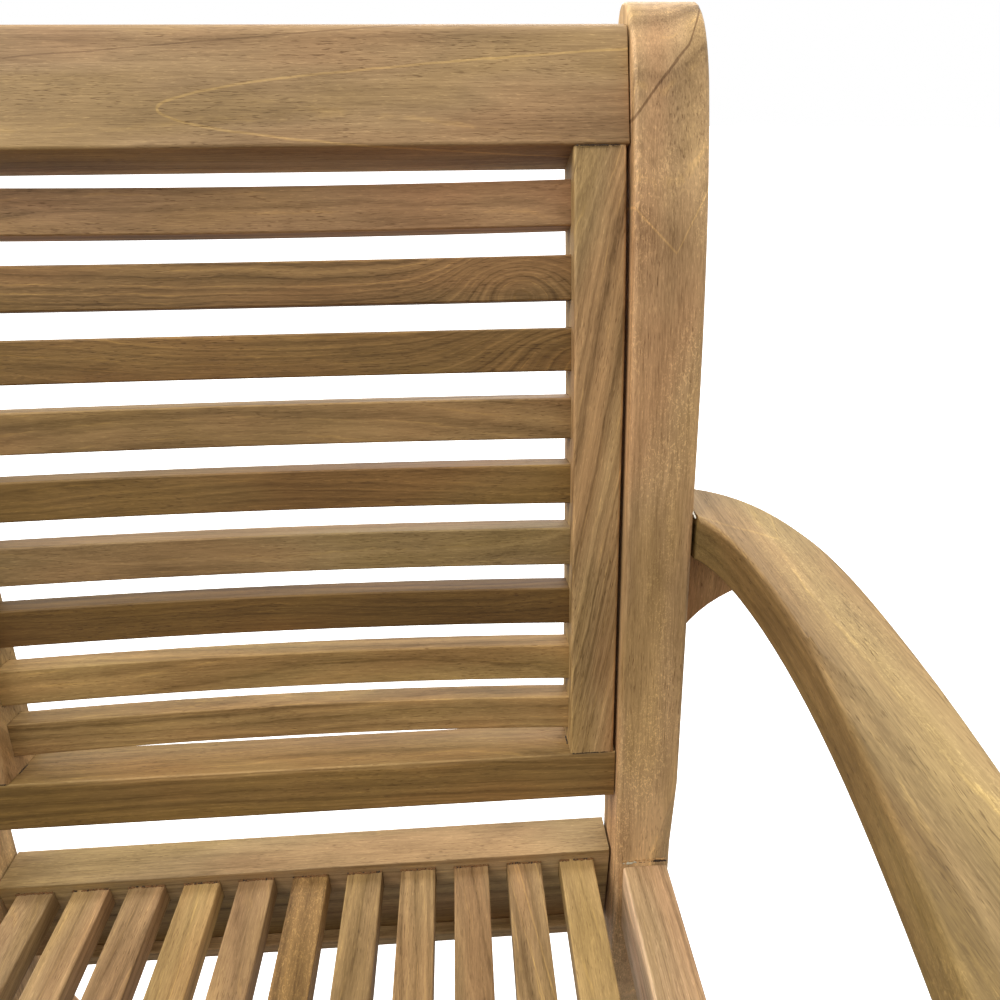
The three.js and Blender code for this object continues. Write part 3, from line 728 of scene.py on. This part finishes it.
BOARDS = {
    "top_rail": Board("X", srgb(164, 134, 93), pith=(60, -20), ring=9),
    "bottom_back_rail": Board("X", srgb(126, 99, 55), pith=(-60, -64), ring=6, sapwood=94),
    "rear_seat_rail": Board("X", srgb(158, 132, 90), pith=(-20, -90), ring=8),
    "rear_rail_ledge": Board("X", srgb(186, 158, 112)),
    "front_seat_rail": Board("X", srgb(160, 130, 90), pith=(-60, -30), ring=7),
    "seat_batten": Board("X", srgb(150, 122, 84)),
    "rear_post": Board("Z", srgb(184, 150, 106), pith=(70, 20), ring=9, lean=POST_LEAN, fleck=1.0),
    "back_stile": Board("Z", srgb(166, 136, 92), pith=(30, 50), ring=5, figure=1.5, lean=POST_LEAN,
                        skew=math.radians(-9)),
    "front_leg": Board("Z", srgb(160, 130, 90), pith=(50, 40), ring=7),
    "side_seat_rail": Board("Y", srgb(170, 141, 102), pith=(-300, 0), ring=5, sapwood=315),
    "arm": Board("Y", srgb(119, 97, 57), pith=(30, -200), ring=9, figure=0.9, fleck=0.6, sapwood=214,
                 lean=SEAT_TILT),
    "arm_corbel": Board("Z", srgb(184, 143, 95), pith=(50, 20), ring=6),
}
# Arris radius in millimetres, and the share of it that end-grain arrises get.
EASING = {
    "rear_post": (2.6, 0.6),
    "arm": (2.2, 1.0),
    "arm_corbel": (1.2, 1.0),
    "top_rail": (1.6, 0.25),
    "bottom_back_rail": (1.4, 0.2),
    "rear_seat_rail": (1.4, 0.5),
    "side_seat_rail": (2.2, 0.2),
    "front_seat_rail": (2.2, 0.2),
    "front_leg": (2.6, 0.5),
    "back_stile": (1.6, 0.2),
    "rear_rail_ledge": (1.0, 0.6),
    "seat_batten": (1.2, 0.5),
    "back_slat": (1.0, 0.5),
    "seat_slat": (1.2, 0.5),
}


def wooden_nodes():
    """(node, kind, board) of every wooden node but the pins."""
    for kind, board in BOARDS.items():
        sides = [kind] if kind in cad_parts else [kind + "_right", kind + "_left"]
        for node in sides:
            yield node, kind, board
    for number, board in enumerate(BACK_SLAT_BOARDS, 1):
        yield f"back_slat_{number}", "back_slat", board
    for number, board in enumerate(SEAT_SLAT_BOARDS, 1):
        yield f"seat_slat_{number}", "seat_slat", board


def make_boards():
    group = teak_group()
    for seed, (node, kind, board) in enumerate(wooden_nodes(), 1):
        width, end_share = EASING[kind]
        gap = POST_GAPS.get(kind, 0)
        piece = eased(node, "wood_" + node, width, AXES[board.grain], end_share, gap)
        low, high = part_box(node)
        piece.data.materials.append(teak_material(node, board, seed, (low + high) / 2, group))


# ---- Filler, glue, and painted shade in the gaps at the joints ------------------------------------

PUTTY = srgb(176, 168, 144)
# Painted shade: the dark of open gaps in the joints, laid on as beads.
GAP_SHADE = srgb(48, 34, 20)
SAWDUST = srgb(176, 136, 84)
BROWN_FILLER = srgb(118, 80, 40)
GLUE = srgb(226, 220, 204)
CRUMB_SCALE = 700
CRUMB_SHADES = (1.5, 0.5)  # shares of the colour between which crumbs vary
CRUMB_RELIEF = {"Strength": 0.6, "Distance": 0.0003}
CRUMB_ROUGHNESS = (0.3, 0.6)


def crumbs_material(name, color):
    material = bpy.data.materials.new(name)
    material.use_nodes = True
    graph = Graph(material.node_tree, clear=True)
    coords = graph.node("ShaderNodeTexCoord").outputs["Object"]
    speck = graph.noise(graph.stretch(coords, CRUMB_SCALE, CRUMB_SCALE), detail=3, rough=0.7)
    light, dark = [(*(share * part for part in color[:3]), 1) for share in CRUMB_SHADES]
    shade = graph.mix(speck, light, dark)
    bump = graph.node("ShaderNodeBump", {"Height": speck, **CRUMB_RELIEF})
    rough = graph.math("MULTIPLY_ADD", speck, *CRUMB_ROUGHNESS)
    inputs = {"Base Color": shade, "Roughness": rough, "Normal": bump.outputs[0]}
    shader = graph.node("ShaderNodeBsdfPrincipled", inputs)
    graph.node("ShaderNodeOutputMaterial", {"Surface": shader.outputs[0]})
    return material


# A bead's lumps, as shares of its width or thickness: least size and spread of each, and their places.
LUMP_STEP = 0.55
LUMP_LENGTH = (0.8, 0.8)
LUMP_WIDTH = (0.5, 0.6)
LUMP_THICKNESS = (0.7, 0.8)
LUMP_JITTER = (0.5, 0.35)  # along the joint, in steps, and across it
LUMP_WOBBLE = 0.35
LUMP_WAVES = 3.1


# Each kind of bead: its width across the joint and thickness off the face in millimetres, its colour,
# the share of its length that has filler, and the first seed of its random draws.
BEADS = {
    "seam_putty": (3.0, 1.6, PUTTY, 0.9, 3),
    # Painted shade: a dark bead in the open part of the seam.
    "seam_gap_shade": (2.0, 1.0, GAP_SHADE, 0.75, 9),
    "seam_dust": (2.2, 0.8, SAWDUST, 0.6, 15),
    "arm_glue": (2.4, 1.4, GLUE, 1.0, 21),
    "slat_filler": (1.6, 1.1, BROWN_FILLER, 0.75, 40),
    # Painted shade: dark bits in the gaps at the slats' ends.
    "slat_gap_shade": (1.3, 1.2, GAP_SHADE, 0.25, 60),
    # Painted shade: dark beads in the stiles' seams and slots.
    "stile_foot": (0.8, 0.5, GAP_SHADE, 0.8, 31),
    "stile_head": (0.8, 0.5, GAP_SHADE, 0.8, 31),
    "stile_slot": (1.2, 0.5, GAP_SHADE, 1.0, 35),
}


def bead(kind, tag, start, end, normal, turn):
    """Ragged bead of filler from start to end, in metres, lying on the face with this normal.

    turn is added to the kind's first seed, so that its beads differ.
    """
    width, thick, color, cover, first_seed = BEADS[kind]
    name, seed = f"{kind}_{tag}", first_seed + turn
    dice = random.Random(seed)
    start, end, normal = Vector(start), Vector(end), Vector(normal).normalized()
    along = end - start
    side = normal.cross(along).normalized()
    width, thick = width * MM, thick * MM
    step = LUMP_STEP * width
    bm = bmesh.new()
    for index in range(max(1, int(along.length / step))):
        drops = [dice.random() for _ in range(6)]
        if drops[0] > cover:
            continue
        centre = start + along.normalized() * step * (index + 0.5 + LUMP_JITTER[0] * (drops[1] - 0.5))
        centre += side * width * LUMP_JITTER[1] * (drops[2] - 0.5)
        lump = bmesh.ops.create_icosphere(bm, subdivisions=2, radius=0.5)["verts"]
        shares = zip((LUMP_LENGTH, LUMP_WIDTH, LUMP_THICKNESS), drops[3:])
        length, breadth, height = [least + spread * drop for (least, spread), drop in shares]
        scale = Vector((width * length, width * breadth, thick * height))
        frame_turn = Matrix((along.normalized(), side, normal)).transposed()
        for vert in lump:
            wobble = 1 + LUMP_WOBBLE * noise.noise(vert.co * LUMP_WAVES + Vector((index, seed, 0)))
            vert.co = centre + frame_turn @ (vert.co * wobble * scale)
    piece = link_mesh(name, bm)
    piece.data.shade_smooth()
    piece.data.materials.append(crumbs_material(name + " filler", color))
    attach(piece, "root")


# In the seat frame, millimetres: the seam of side rail and post, and the glue behind the arm's top.
SEAM = (-13.0, 3.0)
GLUE_SPOT = (32.0, 260.5)
POST_OUTER = 262.0
SLAT_HALF = 12.5
SLAT_END = (-0.6, -7.6)  # just before the rear rail's front, just above the slats' tops
PUTTY_SHARE = 0.36  # of the side rail's width, from its inner side
DUST_RISE = 2
# In the frame's own axes: how far the glue runs, and the sides that the beads lie on.
GLUE_RUN = (0, 7, 1)
SEAM_NORMAL = (0, -1, 0.15)
STILE_NORMAL = (0, -1, 0.25)
SLOT_NORMAL = (0, 0.23, 1)
SEAM_INSET = (1.5, 6.0)  # of the stile seams' ends, from the stile's inner and outer side
HEAD_RISE = 14.8  # from the top rail's lowest edge, at its back, to its lower front edge
FOOT_RISE = 0.4
# Behind the stile's front, and below the bottom rail's highest edge: both ends of the slot by the foot.
SLOT_ENDS = ((20, 4.8), (11, 2.6))
SLOT_GAP = 0.5


def make_seam_filler():
    """Putty, dust and a dark bead of painted shade in the open seam where the side rails meet the posts,
    and glue at the arms' ends.
    """
    for side, mirror in (("right", 1), ("left", -1)):
        rail_low, rail_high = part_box("side_seat_rail_" + side)
        inner = min(abs(rail_low.x), abs(rail_high.x)) * mirror
        outer = max(abs(rail_low.x), abs(rail_high.x)) * mirror
        top = seat_point(0, *SEAM)
        third = inner + PUTTY_SHARE * (outer - inner)
        dust = top.z + DUST_RISE * MM
        runs = (
            ("seam_putty", inner, third, top.z),
            ("seam_gap_shade", third, outer, top.z),
            ("seam_dust", inner, outer, dust),
        )
        for kind, start, end, z in runs:
            bead(kind, side, (start, top.y, z), (end, top.y, z), SEAM_NORMAL, mirror)
        glue = seat_point(POST_OUTER * mirror, *GLUE_SPOT)
        bead("arm_glue", side, glue, glue + Vector(GLUE_RUN) * MM, (mirror, 0, 0.6), mirror)


def make_stile_seams():
    """Painted shade: dark beads along the seams at the stiles' heads and feet, and in a slot beside each
    foot.
    """
    rail_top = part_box("bottom_back_rail")[1].z
    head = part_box("top_rail")[0]
    for side, mirror in (("right", 1), ("left", -1)):
        low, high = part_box("back_stile_" + side)
        inner, outer = sorted((abs(low.x), abs(high.x)))
        start, end = mirror * (inner + SEAM_INSET[0] * MM), mirror * (outer - SEAM_INSET[1] * MM)
        places = (
            ("stile_foot", low.y, rail_top + FOOT_RISE * MM),
            ("stile_head", head.y, head.z + HEAD_RISE * MM),
        )
        for kind, y, z in places:
            bead(kind, side, (start, y, z), (end, y, z), STILE_NORMAL, mirror)
        slot = mirror * (inner - SLOT_GAP * MM)
        back, front = [(slot, low.y + depth * MM, rail_top - drop * MM) for depth, drop in SLOT_ENDS]
        bead("stile_slot", side, back, front, SLOT_NORMAL, mirror)


def make_slat_end_filler():
    """Brown filler crumbs, and dark bits of painted shade in the gaps, along the rear end of each seat
    slat.
    """
    normal = SEAT.to_3x3() @ Vector((0, -0.5, 1))
    for number in range(1, len(SEAT_SLAT_BOARDS) + 1):
        low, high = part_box(f"seat_slat_{number}")
        x = (low.x + high.x) / 2 / MM
        left = seat_point(x - SLAT_HALF, *SLAT_END)
        right = seat_point(x + SLAT_HALF, *SLAT_END)
        for kind in ("slat_filler", "slat_gap_shade"):
            bead(kind, number, left, right, normal, number)


def make_all_filler():
    make_seam_filler()
    make_slat_end_filler()
    make_stile_seams()


# ---- Pins and screws ------------------------------------------------------------------------------

PIN_SCALE = 900
ZINC_SCALE = 600


def finish_material(name, scale, detail, light, dark, settings):
    """Plain finish whose colour drifts from light to dark; settings gives the other shader inputs."""
    material = bpy.data.materials.new(name)
    material.use_nodes = True
    graph = Graph(material.node_tree, clear=True)
    coords = graph.node("ShaderNodeTexCoord").outputs["Object"]
    cloud = graph.noise(graph.stretch(coords, scale, scale), detail=detail)
    rough = graph.math("MULTIPLY_ADD", cloud, *settings["Roughness"])
    inputs = {**settings, "Base Color": graph.mix(cloud, light, dark), "Roughness": rough}
    shader = graph.node("ShaderNodeBsdfPrincipled", inputs)
    graph.node("ShaderNodeOutputMaterial", {"Surface": shader.outputs[0]})
    return material


def make_fixings():
    """Dowel pins and screws keep their CAD shape and get their finish."""
    pin = finish_material("pin end grain", PIN_SCALE, 2, srgb(150, 112, 70), srgb(104, 72, 42),
                          {"Roughness": (0.0, 0.7)})
    steel = finish_material("zinc plated steel", ZINC_SCALE, 3, srgb(176, 176, 172), srgb(140, 138, 128),
                            {"Roughness": (0.3, 0.2), "Metallic": 1.0})
    for node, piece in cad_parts.items():
        for part, finish in (("batten_screw", steel), ("_pin_", pin)):
            if part in node:
                piece.data.materials.clear()
                piece.data.materials.append(finish)


# ---- The scene ------------------------------------------------------------------------------------

bpy.context.scene.view_settings.view_transform = "Standard"
make_camera()
make_lights()
make_world()
make_floor()
make_boards()
make_fixings()
make_all_filler()
